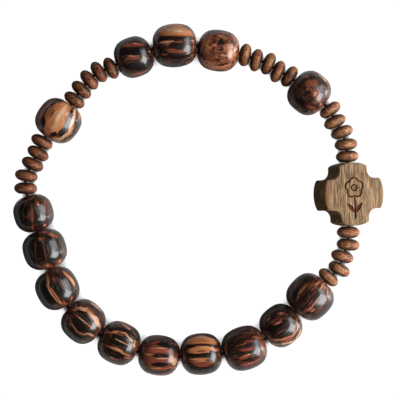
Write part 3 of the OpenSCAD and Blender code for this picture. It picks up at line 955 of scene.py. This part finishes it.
@dataclass
class Studio:
    """The pale floor, the soft light from the right and the camera straight above, in metres."""

    camera_height: float = 0.326
    field: float = 13.5
    aim: tuple[float, float] = (0.29 * MM, -0.07 * MM)
    glow: float = 1.02
    mirrored: float = 0.14
    low_sun: float = 26.0
    seam_reach: float = 1.3
    upper_pane: float = 1.8
    lower_pane: float = 5.2
    overhead: float = 1.28
    room: float = 0.03

    def build(self) -> None:
        """Sets up everything that isn't part of the object."""
        self.floor()
        self.light()
        self.camera()
        bpy.context.scene.view_settings.view_transform = "Standard"

    def floor(self) -> None:
        """Lays a plain white floor that glows a little like a light table, and the dimmer one that lacquer mirrors.

        The glow fades where the beads close it in. The lacquer would mirror it far too brightly, so it sees the
        plain table just beneath instead, which the lamps light and the beads shade.
        """
        white, tree, shader = new_material("white_light_table")
        shader.inputs["Emission Color"].default_value = (1, 1, 1, 1)
        beside, between = (
            add_node(tree, "ShaderNodeAmbientOcclusion", {"Distance": reach * MM}, samples=count).outputs["AO"]
            for reach, count in ((1.5, 8), (5.0, 16)))
        open_sky = maths(tree, "MULTIPLY", fade(tree, beside, 0.28, 0.52), fade(tree, between, 0.32, 0.4))
        upper = maths(tree, "SUBTRACT", 1.0, add_node(tree, "ShaderNodeNewGeometry").outputs["Backfacing"])
        open_sky = maths(tree, "MULTIPLY", open_sky, fade(tree, add_node(
            tree, "ShaderNodeAttribute", attribute_name="across_seam").outputs["Fac"], 0.0, 0.45, 1.0, 0.2))
        tree.links.new(maths(tree, "MULTIPLY", upper, maths(tree, "MULTIPLY", open_sky, self.glow)),
                       shader.inputs["Emission Strength"])
        shown = self.table("floor", -0.05 * MM, white, shader, 0.04)
        for lit in (shown, self.seam_shade(white)):
            lit.visible_glossy = lit.visible_diffuse = lit.visible_shadow = False
        grey, _, shader = new_material("matt_grey_table")
        beneath = self.table("mirrored_floor", -0.1 * MM, grey, shader, self.mirrored)
        shader.inputs["Specular IOR Level"].default_value = 0.12
        shader.inputs["Roughness"].default_value = 0.6
        beneath.visible_camera = False
        self.low_light(beneath)

    def seam_shade(self, finish: bpy.types.Material) -> bpy.types.Object:
        """Lays a band under the cord, where the floor glows less, because real beads touch and their seams are dark.

        Args:
            finish: the floor's material, which darkens by the band's own attribute.

        Returns:
            The band: the cord's form made wide and flat.
        """
        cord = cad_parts["elastic_cord"]
        Bench.clear()
        band = bpy.data.objects.new("seam_shade", cord.data.copy())
        band.matrix_world = cord.matrix_world
        bpy.context.scene.collection.objects.link(band)
        band.data.materials.clear()
        band.data.materials.append(finish)
        Bench.edit(band)
        bpy.ops.mesh.select_all(action="SELECT")
        bpy.ops.mesh.remove_doubles(threshold=0.001 * MM)
        Bench.clear()
        middle_line = [1 - math.hypot(point.normal.x, point.normal.y) for point in band.data.vertices]
        band.data.attributes.new("across_seam", "FLOAT", "POINT").data.foreach_set("value", middle_line)
        Bench.edit(band)
        bpy.ops.mesh.select_all(action="SELECT")
        bpy.ops.transform.shrink_fatten(value=self.seam_reach * MM)
        Bench.clear()
        band.scale.z *= 0.001
        band.location.z = -0.048 * MM
        return band

    def low_light(self, table: bpy.types.Object) -> None:
        """Lights the mirrored table alone from the right, so that lacquer mirrors it bright on the right of each
        bead and in the bead's own shadow on the left.

        Args:
            table: the plane that the light falls on.
        """
        data = bpy.data.lights.new("low_light", "SUN")
        data.energy, data.angle, data.color = self.low_sun, math.radians(12), (1.0, 0.97, 0.93)
        lamp = bpy.data.objects.new("low_light", data)
        bpy.context.scene.collection.objects.link(lamp)
        lamp.rotation_euler = Euler((0, math.radians(76), 0))
        lit = bpy.data.collections.new("lit_by_low_light")
        lit.objects.link(table)
        lamp.light_linking.receiver_collection = lit

    @staticmethod
    def table(name: str, height: float, finish: bpy.types.Material, shader: bpy.types.Node,
              pale: float) -> bpy.types.Object:
        """Lays one matt plane, 4 m wide.

        Args:
            name: the plane's name.
            height: how high it lies.
            finish: its material.
            shader: that material's shader.
            pale: how pale it is, from 0 to 1.

        Returns:
            The plane.
        """
        Bench.clear()
        bpy.ops.mesh.primitive_plane_add(size=4, location=(0, 0, height))
        plane = bpy.context.object
        plane.name = name
        shader.inputs["Base Color"].default_value = (pale, pale, pale, 1)
        shader.inputs["Roughness"].default_value = 1.0
        shader.inputs["Specular IOR Level"].default_value = 0.0
        plane.data.materials.append(finish)
        return plane

    def soft_box(self, name: str, bearing: float, lean: float, away: float, size: tuple[float, float], power: float,
                 mirrored: bool) -> None:
        """Hangs a rectangular soft light that faces the middle of the floor.

        Args:
            name: the light's name.
            bearing: the way it stands from the middle, in degrees from +X.
            lean: its angle from straight up, in degrees.
            away: its distance.
            size: its width up and down, and its width along the floor.
            power: its power in watts.
            mirrored: whether glossy surfaces mirror it.
        """
        data = bpy.data.lights.new(name, "AREA")
        data.shape, data.size, data.size_y, data.energy = "RECTANGLE", size[0], size[1], power
        data.color = (0.93, 0.97, 1.0) if mirrored else (1.0, 0.96, 0.9)
        lamp = bpy.data.objects.new(name, data)
        bpy.context.scene.collection.objects.link(lamp)
        lamp.visible_glossy = mirrored
        lamp.rotation_euler = Euler((0, math.radians(lean), math.radians(bearing)))
        lamp.location = lamp.rotation_euler.to_matrix() @ Vector((0, 0, away))

    def light(self) -> None:
        """Hangs the two soft panes of the light on the right and a dull one overhead, in a dim room."""
        self.soft_box("upper_pane", 24, 58, 0.6, (0.42, 0.32), self.upper_pane, True)
        self.soft_box("lower_pane", -19.5, 58, 0.6, (0.42, 0.4), self.lower_pane, True)
        self.soft_box("overhead", 0, 0, 0.8, (1.0, 1.0), self.overhead, False)
        world = bpy.data.worlds.new("dim_room")
        world.use_nodes = True
        world.node_tree.nodes["Background"].inputs["Color"].default_value = (1, 1, 1, 1)
        world.node_tree.nodes["Background"].inputs["Strength"].default_value = self.room
        bpy.context.scene.world = world

    def camera(self) -> None:
        """Hangs the camera straight above the middle of the picture, with the picture's top towards +Y."""
        data = bpy.data.cameras.new("camera")
        data.sensor_fit, data.angle = "HORIZONTAL", math.radians(self.field)
        data.clip_start, data.clip_end = 0.01, 10
        camera = bpy.data.objects.new("camera", data)
        bpy.context.scene.collection.objects.link(camera)
        camera.location = (*self.aim, self.camera_height)
        bpy.context.scene.camera = camera


BLACK, DARK, UMBER, RUST, RED, CRIMSON, PINK, ORANGE, HONEY, TAN, PALE = Tone

PALM_FINISHES = {
    "palm_bead_01": Palmwood((
        Fleck(0.3, 1.6, 2.6, 1.5, 10, RUST), Fleck(1.1, -0.4, 1.8, 1.7, -40, RUST),
        Fleck(-2.4, 0.1, 1.2, 1.8, 0, UMBER), Fleck(-0.7, 2.9, 0.9, 0.6, 30, RED),
        Fleck(0.9, -0.4, 0.9, 0.5, 50, TAN), Fleck(1.3, 2.75, 2.4, 0.7, -20, BLACK),
        Fleck(2.75, 1.7, 2.0, 0.7, -52, BLACK), Fleck(3.25, 0.1, 2.2, 0.6, -85, BLACK),
        Fleck(-1.5, 1.9, 1.3, 0.9, 20, DARK), Fleck(-0.6, -0.2, 1.2, 0.9, 20, BLACK),
        Fleck(-1.2, 0.7, 1.0, 0.7, 60, DARK), Fleck(0.3, -1.3, 1.7, 0.5, -40, DARK),
        Fleck(-1.6, -2.2, 3.4, 1.3, -38, BLACK), Fleck(0.2, -2.8, 1.5, 0.8, 5, CRIMSON),
        Fleck(0.5, -2.5, 0.9, 0.4, -10, BLACK), Fleck(2.0, -2.45, 0.8, 0.6, 30, RED),
        # The tan fleck at 2.5 right and 2.8 up is painted reflection: the pale rim that the lacquer shows on the upper
        # right.
        Fleck(2.1, -2.3, 0.35, 0.3, 0, PINK), Fleck(2.5, 2.8, 2.4, 0.4, -42, TAN),
    ), ground=0.36, tan_share=0.4, seed=1, grain=Grain.UPRIGHT, bundle=1.0, deepest=0.4),
    "palm_bead_02": Palmwood((
        Fleck(2.4, -0.6, 1.6, 3.4, 0, ORANGE), Fleck(0.0, -3.4, 4.6, 0.6, 0, ORANGE),
        Fleck(-1.6, -1.6, 2.2, 1.6, -20, RUST), Fleck(0.8, 2.8, 3.0, 0.3, -5, DARK),
        Fleck(-2.3, 2.6, 1.7, 0.9, 35, DARK), Fleck(0.0, 3.75, 5.4, 0.7, 0, DARK),
        Fleck(-3.6, 0.2, 0.9, 5.0, 0, BLACK), Fleck(0.5, 1.4, 1.2, 1.3, 0, BLACK),
        Fleck(0.4, 0.0, 1.15, 0.9, 0, DARK), Fleck(0.1, 0.1, 0.5, 0.3, 0, RED),
        Fleck(0.0, -2.1, 0.9, 0.4, -15, DARK), Fleck(0.9, -2.85, 1.8, 0.35, 8, DARK),
        Fleck(2.9, 1.3, 1.2, 0.35, -40, DARK), Fleck(3.3, 0.2, 0.4, 0.5, 0, PINK),
        Fleck(-0.6, 0.7, 0.9, 0.5, 30, ORANGE), Fleck(0.9, -1.2, 1.2, 0.5, -20, ORANGE),
    ), ground=0.56, tan_share=0.6, seed=2, grain=Grain.UPRIGHT, bundle=0.75, deepest=0.72),
    "palm_bead_03": Palmwood((
        Fleck(0.2, 2.7, 6.4, 2.5, 0, HONEY), Fleck(0.5, 2.6, 3.8, 1.3, 0, TAN),
        Fleck(0.6, 2.5, 2.0, 0.6, 0, PALE), Fleck(-0.9, 3.3, 2.2, 0.2, 12, RUST),
        Fleck(0.0, 1.0, 8.0, 0.75, 0, BLACK), Fleck(-1.5, 0.3, 3.0, 0.35, 4, TAN),
        Fleck(0.9, 0.35, 2.0, 0.25, 0, RUST), Fleck(0.5, -0.4, 3.3, 0.8, -4, BLACK),
        Fleck(0.6, -1.5, 4.0, 0.65, -2, RUST), Fleck(-0.4, -1.1, 1.6, 0.2, -6, CRIMSON),
        Fleck(2.5, -1.8, 1.3, 0.28, 12, TAN), Fleck(1.0, -2.45, 5.6, 0.75, 0, BLACK),
        Fleck(0.5, -3.05, 4.0, 0.2, 0, UMBER), Fleck(-1.8, -2.0, 0.9, 0.3, 10, RUST),
        Fleck(-3.5, 2.2, 1.0, 2.4, 10, DARK), Fleck(3.5, 0.6, 0.5, 0.9, 0, PINK),
    ), ground=0.32, tan_share=0.12, seed=3),
    "palm_bead_04": Palmwood((
        Fleck(0.0, 0.8, 6.4, 1.3, 3, BLACK), Fleck(0.3, -1.9, 6.0, 1.3, 3, BLACK),
        Fleck(-0.1, 2.1, 4.0, 0.8, 3, CRIMSON), Fleck(0.4, 2.3, 1.5, 0.18, 4, PINK),
        Fleck(-1.2, 1.8, 1.6, 0.2, 10, ORANGE), Fleck(0.0, -0.5, 2.8, 0.7, 4, RUST),
        Fleck(0.1, -0.1, 2.3, 0.2, 3, PINK), Fleck(0.3, -0.55, 1.4, 0.3, 3, CRIMSON),
        Fleck(3.0, 0.85, 0.45, 0.5, 0, TAN), Fleck(-1.2, -2.75, 2.6, 0.4, -12, UMBER),
        Fleck(1.0, -3.3, 4.0, 0.4, 16, RUST), Fleck(-0.2, -1.25, 2.4, 0.15, 8, UMBER),
    ), ground=0.24, tan_share=0.06, seed=4),
    "palm_bead_05": Palmwood((
        Fleck(-0.1, 0.3, 7.8, 4.3, 60, HONEY), Fleck(0.3, 0.2, 5.0, 2.0, 60, TAN),
        Fleck(0.9, 1.2, 4.2, 0.8, 62, PALE), Fleck(-1.0, -1.0, 2.8, 0.8, 60, ORANGE),
        Fleck(0.7, -0.6, 1.8, 0.5, 60, HONEY), Fleck(-1.1, 1.7, 2.8, 0.45, 60, ORANGE),
        Fleck(-0.85, 1.1, 1.7, 0.42, 62, RUST), Fleck(-3.1, 1.5, 5.4, 1.0, 60, RUST),
        Fleck(-2.9, 0.9, 1.8, 0.5, 62, ORANGE), Fleck(-2.05, 1.75, 5.2, 0.3, 58, BLACK),
        Fleck(0.1, 3.55, 1.9, 1.0, 26, BLACK), Fleck(-2.6, -0.5, 2.3, 1.1, 78, BLACK),
        Fleck(-0.75, -2.8, 1.7, 1.15, 10, BLACK), Fleck(0.9, -2.35, 1.7, 1.0, 56, BLACK),
        Fleck(2.15, -0.2, 5.0, 0.95, 64, BLACK), Fleck(3.05, 0.1, 5.6, 0.6, 66, PALE),
        Fleck(1.6, -2.9, 2.6, 0.5, 48, TAN), Fleck(0.0, -3.6, 2.0, 0.45, 12, TAN),
        Fleck(3.6, -0.3, 5.6, 0.4, 68, BLACK), Fleck(2.2, -3.2, 2.4, 0.35, 46, BLACK),
        Fleck(-2.9, -2.2, 1.2, 0.9, 0, DARK),
    ), ground=0.62, tan_share=0.4, seed=5),
    "palm_bead_06": Palmwood((
        Fleck(-1.9, 0.0, 6.6, 2.2, 90, BLACK), Fleck(1.5, 0.0, 6.0, 1.6, 90, BLACK),
        Fleck(0.1, -0.2, 4.0, 0.75, 92, UMBER), Fleck(0.1, -0.3, 2.6, 0.35, 92, RUST),
        Fleck(-3.3, 0.2, 3.8, 0.25, 90, UMBER), Fleck(-1.2, 1.7, 1.0, 0.3, 70, RUST),
        Fleck(-0.2, 2.9, 1.6, 0.35, 20, RUST), Fleck(1.0, 2.0, 1.2, 0.65, 60, CRIMSON),
        Fleck(1.2, 1.7, 0.4, 0.3, 0, PINK), Fleck(2.4, 1.0, 2.6, 0.45, 84, RUST),
        Fleck(3.1, 0.3, 2.6, 0.5, 88, UMBER), Fleck(2.35, -2.2, 0.9, 0.6, 40, RED),
        Fleck(2.4, -2.2, 0.35, 0.3, 0, PINK), Fleck(0.1, -2.6, 0.9, 0.6, 60, CRIMSON),
    ), ground=0.24, tan_share=0.06, seed=6),
    "palm_bead_07": Palmwood((
        Fleck(-1.6, 0.0, 7.4, 3.0, 92, BLACK), Fleck(1.7, 0.0, 6.4, 2.6, 92, BLACK),
        Fleck(-1.4, -0.4, 4.6, 0.16, 93, RUST), Fleck(-1.15, 0.2, 3.0, 0.12, 93, UMBER),
        Fleck(-3.4, 0.0, 4.4, 0.18, 91, UMBER), Fleck(-2.6, 0.0, 4.4, 0.12, 92, UMBER),
        Fleck(0.45, -0.4, 4.6, 0.14, 100, RUST), Fleck(3.0, 0.3, 4.2, 0.2, 90, UMBER),
        Fleck(-0.4, 2.1, 1.3, 0.7, 10, RUST), Fleck(-0.5, 2.1, 0.5, 0.3, 0, ORANGE),
        Fleck(1.7, 2.8, 2.2, 1.0, -32, RUST), Fleck(1.6, 2.9, 1.0, 0.35, -30, ORANGE),
        Fleck(0.3, 3.3, 0.9, 0.4, 0, CRIMSON), Fleck(0.9, -3.0, 2.6, 0.9, 8, RUST),
        Fleck(0.8, -3.0, 0.7, 0.4, 10, ORANGE), Fleck(-0.5, -3.3, 1.3, 0.5, 0, CRIMSON),
        Fleck(2.9, -2.3, 1.5, 0.9, 30, RUST), Fleck(3.0, -2.2, 0.5, 0.35, 30, TAN),
        Fleck(1.7, -2.7, 0.4, 0.3, 0, BLACK),
    ), ground=0.24, tan_share=0.06, seed=7, ends=0.9),
    "palm_bead_08": Palmwood((
        Fleck(-2.5, -0.6, 6.8, 2.6, 112, BLACK), Fleck(1.4, 0.2, 6.0, 2.4, 118, BLACK),
        Fleck(-0.3, 2.0, 1.8, 1.1, 100, UMBER), Fleck(-0.4, 1.9, 0.9, 0.4, 110, RUST),
        Fleck(-1.45, 1.6, 2.8, 0.55, 100, ORANGE), Fleck(-0.2, -1.2, 4.4, 0.8, 125, ORANGE),
        Fleck(-0.1, -1.3, 2.6, 0.25, 125, RUST), Fleck(-0.8, -0.8, 4.0, 0.14, 122, TAN),
        Fleck(1.0, 0.95, 2.4, 0.07, 120, PINK), Fleck(1.5, 0.85, 2.4, 0.07, 120, PINK),
        Fleck(2.0, 0.7, 2.2, 0.07, 120, PINK), Fleck(2.6, 2.0, 3.8, 0.6, 124, ORANGE),
        Fleck(2.9, 1.7, 2.2, 0.25, 124, TAN), Fleck(-3.2, 0.0, 3.6, 0.14, 104, UMBER),
        Fleck(-2.7, -1.6, 2.6, 0.14, 118, UMBER), Fleck(1.7, -2.8, 1.0, 0.7, 120, RED),
        Fleck(2.9, -1.9, 1.1, 0.6, 60, CRIMSON), Fleck(2.9, -1.8, 0.35, 0.3, 0, PINK),
    ), ground=0.24, tan_share=0.06, seed=8),
    "palm_bead_09": Palmwood((
        Fleck(-1.6, -2.3, 5.6, 1.5, -38, BLACK), Fleck(-3.3, -0.6, 2.6, 0.9, -70, BLACK),
        Fleck(-2.2, 2.0, 1.5, 1.2, 30, DARK), Fleck(-1.3, 2.5, 1.6, 0.6, 20, ORANGE),
        Fleck(0.3, 2.6, 2.8, 0.7, -18, TAN), Fleck(1.9, 1.5, 3.0, 1.0, -46, ORANGE),
        Fleck(2.1, 1.0, 2.6, 0.5, -48, TAN), Fleck(2.9, 0.1, 2.0, 0.9, -62, TAN),
        Fleck(1.7, 2.2, 1.8, 0.35, -36, RUST), Fleck(2.2, 1.7, 0.9, 0.3, -44, UMBER),
        Fleck(0.7, 1.2, 3.4, 0.95, -38, BLACK), Fleck(-0.2, -0.4, 4.4, 1.6, -38, BLACK),
        Fleck(0.2, 0.45, 4.4, 0.22, -38, TAN), Fleck(2.0, 2.9, 3.2, 0.3, -32, BLACK),
        Fleck(2.6, 2.9, 2.6, 0.3, -38, TAN), Fleck(-0.95, 1.35, 0.9, 0.35, -30, CRIMSON),
        Fleck(-2.4, 0.6, 1.1, 0.4, -30, RED), Fleck(-1.5, -0.9, 2.4, 0.3, -52, ORANGE),
        Fleck(-0.1, -2.0, 2.2, 0.35, -22, ORANGE), Fleck(1.5, -2.2, 1.8, 0.45, -20, PINK),
        Fleck(2.1, -2.7, 1.0, 0.35, -40, ORANGE), Fleck(0.2, -3.6, 1.6, 0.35, -8, RUST),
        Fleck(-3.2, -0.8, 0.7, 0.3, -60, UMBER),
    ), ground=0.34, tan_share=0.15, seed=9),
    "palm_bead_10": Palmwood((
        Fleck(0.2, 3.1, 3.4, 0.4, 0, DARK), Fleck(2.0, 2.9, 3.2, 0.25, -32, PINK),
        Fleck(1.0, 2.7, 3.6, 0.55, -18, BLACK), Fleck(2.9, 1.7, 2.4, 0.5, -50, BLACK),
        Fleck(-0.9, 2.35, 2.0, 0.4, 4, ORANGE), Fleck(0.9, 2.2, 1.8, 0.3, -18, ORANGE),
        Fleck(2.1, 1.3, 2.6, 0.35, -44, TAN), Fleck(0.5, 1.5, 3.4, 0.7, -20, BLACK),
        Fleck(0.3, 1.95, 2.0, 0.2, -16, RED), Fleck(-0.3, 0.5, 5.0, 0.9, -22, BLACK),
        Fleck(0.7, 0.55, 2.6, 0.18, -26, TAN), Fleck(1.2, -0.3, 2.2, 0.7, -30, BLACK),
        Fleck(-2.0, -0.3, 2.2, 0.5, -12, RUST), Fleck(-0.3, -0.85, 2.6, 0.6, -22, ORANGE),
        Fleck(1.2, -1.7, 2.4, 0.45, -34, ORANGE), Fleck(0.2, -0.9, 1.6, 0.2, -24, TAN),
        Fleck(-0.1, -2.1, 3.4, 0.85, -18, BLACK), Fleck(-0.7, -2.8, 2.6, 0.35, -16, CRIMSON),
        Fleck(-1.2, -2.5, 0.8, 0.3, -16, PINK), Fleck(1.7, -2.5, 1.4, 0.5, -24, RED),
        Fleck(2.9, -0.4, 1.6, 0.6, 80, RUST), Fleck(3.1, 0.1, 1.6, 0.3, 84, TAN),
        Fleck(2.5, -2.0, 1.0, 0.5, 40, BLACK), Fleck(-2.5, 1.6, 1.6, 1.4, -10, DARK),
        Fleck(-1.8, 2.4, 0.8, 0.4, 0, CRIMSON), Fleck(-0.6, -3.4, 3.0, 0.3, -12, DARK),
    ), ground=0.36, tan_share=0.15, seed=10),
    "palm_bead_11": Palmwood((
        Fleck(-0.2, 0.0, 6.4, 5.2, 0, RUST), Fleck(0.2, 3.1, 5.2, 0.7, 0, DARK),
        Fleck(-1.2, 2.6, 3.0, 0.4, 4, CRIMSON), Fleck(1.4, 2.15, 4.0, 0.85, -6, BLACK),
        Fleck(0.1, 1.7, 3.2, 0.2, 0, TAN), Fleck(0.0, 1.25, 4.4, 0.45, 0, RED),
        Fleck(0.5, 0.3, 3.6, 0.85, -2, BLACK), Fleck(0.8, -0.25, 2.6, 0.2, 0, TAN),
        Fleck(-0.6, -0.7, 3.2, 0.4, 0, CRIMSON), Fleck(-2.0, 0.5, 1.8, 0.4, 0, ORANGE),
        Fleck(0.4, -1.45, 3.5, 0.9, 0, BLACK), Fleck(3.0, -0.9, 1.0, 1.8, 0, TAN),
        Fleck(0.4, -2.3, 4.6, 0.5, 0, RED), Fleck(-0.6, -2.15, 2.0, 0.18, 0, TAN),
        Fleck(0.1, -2.95, 5.2, 0.6, 0, BLACK), Fleck(-3.3, 0.4, 1.0, 4.0, 0, DARK),
        Fleck(3.4, 1.4, 0.8, 1.6, 0, DARK), Fleck(0.4, -3.5, 4.0, 0.3, 0, CRIMSON),
    ), ground=0.4, tan_share=0.2, seed=11),
    "palm_bead_12": Palmwood((
        Fleck(0.2, 2.9, 6.2, 1.5, 2, HONEY), Fleck(0.6, 3.3, 3.6, 0.4, 2, TAN),
        Fleck(0.0, 2.7, 2.2, 0.3, 2, ORANGE), Fleck(0.2, 1.15, 5.6, 1.5, 2, HONEY),
        Fleck(0.9, 1.6, 2.0, 0.3, 2, TAN), Fleck(0.0, 0.9, 2.0, 0.35, 4, RUST),
        Fleck(-2.2, 1.65, 1.7, 0.7, 16, BLACK), Fleck(0.1, 2.1, 4.6, 0.32, 3, BLACK),
        Fleck(3.2, 1.9, 0.5, 1.6, 15, DARK), Fleck(0.2, 0.25, 5.0, 0.6, 6, BLACK),
        Fleck(1.95, 0.8, 1.0, 0.6, 10, BLACK), Fleck(-0.4, -0.6, 3.6, 0.4, 3, HONEY),
        Fleck(0.0, -1.35, 5.0, 1.1, 0, RUST), Fleck(-0.1, -1.0, 2.4, 0.3, 2, ORANGE),
        Fleck(-2.2, -1.8, 2.6, 1.2, -18, BLACK), Fleck(0.4, -2.5, 5.6, 1.1, 0, BLACK),
        Fleck(0.3, -2.0, 2.4, 0.25, 0, CRIMSON), Fleck(-3.3, 0.2, 0.8, 2.4, 0, DARK),
    ), ground=0.3, tan_share=0.12, seed=12),
    "palm_bead_13": Palmwood((
        Fleck(-0.3, 2.5, 3.0, 0.4, 16, UMBER), Fleck(0.6, 3.1, 2.4, 0.3, 10, RUST),
        Fleck(0.85, 1.65, 1.9, 0.42, 9, CRIMSON), Fleck(-0.9, 0.9, 2.4, 0.25, 20, RUST),
        Fleck(-0.2, 1.1, 1.2, 0.15, 18, ORANGE), Fleck(1.2, 0.95, 2.2, 0.55, 10, BLACK),
        Fleck(0.4, 0.1, 2.9, 0.6, 10, CRIMSON), Fleck(0.8, 0.0, 1.2, 0.18, 10, RED),
        Fleck(0.6, -0.5, 2.6, 0.4, 12, BLACK), Fleck(0.3, -1.0, 2.1, 0.28, 16, ORANGE),
        Fleck(0.6, -0.85, 1.0, 0.14, 16, TAN), Fleck(-0.3, -1.4, 1.5, 0.38, 15, RED),
        Fleck(0.6, -1.9, 3.4, 0.6, 14, BLACK), Fleck(0.7, -2.7, 3.2, 0.6, 15, CRIMSON),
        Fleck(1.0, -2.6, 1.1, 0.18, 15, PINK), Fleck(3.4, 0.9, 1.0, 2.4, 10, RUST),
        Fleck(-1.6, -2.5, 0.8, 0.5, 0, UMBER), Fleck(-2.9, 0.4, 1.2, 3.2, 0, DARK),
        Fleck(2.4, 2.3, 1.8, 0.5, 0, RED), Fleck(-2.3, -1.4, 1.4, 0.5, 10, UMBER),
    ), ground=0.34, tan_share=0.12, seed=13, deepest=0.25),
    "palm_bead_14": Palmwood((
        Fleck(-1.0, -0.4, 4.6, 2.4, 24, BLACK), Fleck(-0.15, 2.5, 1.7, 0.5, 6, CRIMSON),
        Fleck(-0.1, 2.6, 0.7, 0.2, 0, PINK), Fleck(-2.4, 1.5, 0.9, 0.2, 42, TAN),
        Fleck(-0.8, 0.8, 1.9, 0.45, 24, CRIMSON), Fleck(-0.6, 0.8, 1.2, 0.18, 28, PINK),
        Fleck(-0.4, -1.05, 2.6, 0.16, 34, RUST), Fleck(-1.0, -2.5, 2.8, 0.4, 4, ORANGE),
        Fleck(0.9, -2.1, 3.2, 0.45, 22, ORANGE), Fleck(2.7, -0.9, 2.6, 0.5, 46, ORANGE),
        # The two tan flecks along the lower right rim, at 0.9, -3.2 and at 3.2, -1.9, are painted reflection: the pale
        # rim that the lacquer shows there.
        Fleck(1.2, -2.5, 2.4, 0.4, 20, RED), Fleck(0.9, -3.2, 4.6, 0.5, 18, TAN),
        Fleck(3.2, -1.9, 2.8, 0.5, 50, TAN), Fleck(2.2, -2.4, 2.0, 0.25, 34, BLACK),
        Fleck(2.8, 1.0, 2.0, 0.6, 76, RUST), Fleck(-1.2, -3.2, 2.6, 0.3, 0, BLACK),
        Fleck(2.2, 2.2, 1.4, 0.5, -30, UMBER), Fleck(0.8, 1.6, 2.0, 0.4, 10, UMBER),
    ), ground=0.3, tan_share=0.1, seed=14, deepest=0.2),
    "palm_bead_15": Palmwood((
        Fleck(-0.3, 0.6, 4.6, 1.0, 52, BLACK), Fleck(-1.6, 1.7, 2.6, 0.6, 52, RUST),
        Fleck(-1.5, 1.7, 2.2, 0.32, 52, ORANGE), Fleck(-2.4, 0.5, 2.2, 0.25, 66, ORANGE),
        Fleck(-3.4, 0.8, 4.4, 0.9, 80, DARK), Fleck(0.8, 2.1, 2.2, 0.45, 50, CRIMSON),
        Fleck(-0.2, 0.2, 4.4, 0.2, 52, RUST), Fleck(0.4, -0.1, 3.0, 0.35, 52, CRIMSON),
        Fleck(1.0, 0.6, 3.0, 0.6, 52, DARK), Fleck(0.7, -0.9, 3.8, 0.2, 50, PINK),
        Fleck(1.2, 2.8, 1.5, 0.5, 50, ORANGE), Fleck(2.2, 2.3, 1.4, 0.7, 60, ORANGE),
        Fleck(3.1, 1.5, 1.8, 0.45, 70, ORANGE), Fleck(2.6, 1.9, 0.8, 0.25, 70, PINK),
        Fleck(-0.6, -2.2, 2.2, 0.8, 40, CRIMSON), Fleck(-0.2, -2.1, 0.8, 0.25, 40, PINK),
        Fleck(0.35, -2.35, 1.1, 0.2, 46, TAN), Fleck(1.4, -2.2, 2.0, 0.7, 48, UMBER),
        Fleck(1.8, -1.9, 1.0, 0.25, 48, RUST), Fleck(-2.0, -1.6, 1.6, 0.8, 60, UMBER),
    ), ground=0.34, tan_share=0.1, seed=15, deepest=0.25),
}


SPACER_RUNS = (
    WaxedWood("B4805A", "765036", "2C1A10"), WaxedWood("A06A46", "5E3826", "20100A"),
    WaxedWood("925C3E", "523020", "200F09"), WaxedWood("8C583A", "4E2E1E", "200F09"),
    WaxedWood("B07C58", "744834", "2E1A12"))


def dress_cord() -> None:
    """Gives the CAD cord its elastic yarn."""
    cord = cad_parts["elastic_cord"]
    cord.data.materials.clear()
    cord.data.materials.append(ElasticCord().material())
    log.info("elastic_cord dressed")


def main() -> None:
    """Builds every piece in order, then the studio."""
    logging.basicConfig(level=logging.INFO, format="%(name)s: %(message)s")
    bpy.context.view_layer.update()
    PalmBeads(PALM_FINISHES).build()
    SpacerBeads(SPACER_RUNS).build()
    CrossBead().build()
    dress_cord()
    Studio().build()
    bpy.context.view_layer.update()


if __name__ == "__main__":
    main()
